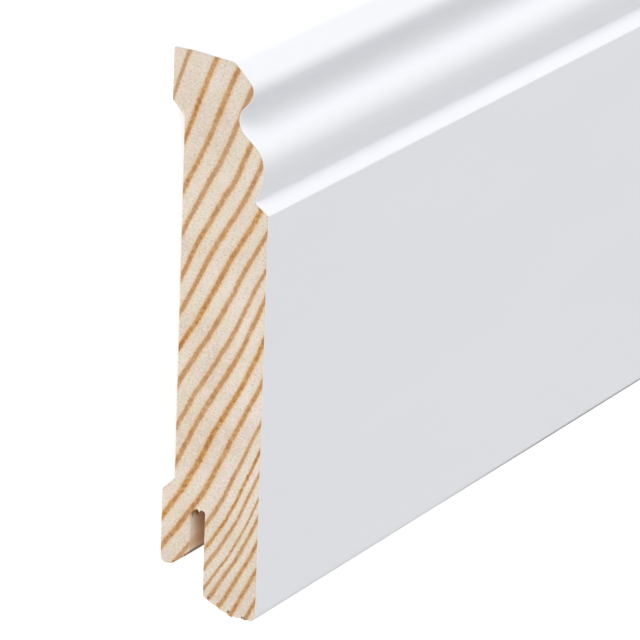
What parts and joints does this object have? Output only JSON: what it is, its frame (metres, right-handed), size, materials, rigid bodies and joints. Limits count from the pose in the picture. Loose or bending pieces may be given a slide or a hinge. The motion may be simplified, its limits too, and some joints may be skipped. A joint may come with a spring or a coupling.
{
  "type": "skirting board length",
  "caption": "Straight length of solid pine skirting board with a moulded ogee top, white lacquered room side, hollowed back and a clip groove in the floor edge.",
  "frame": {"origin": "under the middle of the board, on the plane of the two back lips that touch the wall and that it lies on", "axes": "+X along the length, +Y up the board's height from floor edge to moulded top edge, +Z out of the room face"},
  "size_m": [2.4, 0.096, 0.0185],
  "materials": {
    "lacquered_pine": "satin white lacquer on the room side and top, bare planed pine on the back, bare sawn ends"
  },
  "bodies": {
    "root": {"skirting_board": "lacquered_pine"}
  },
  "joints": []
}
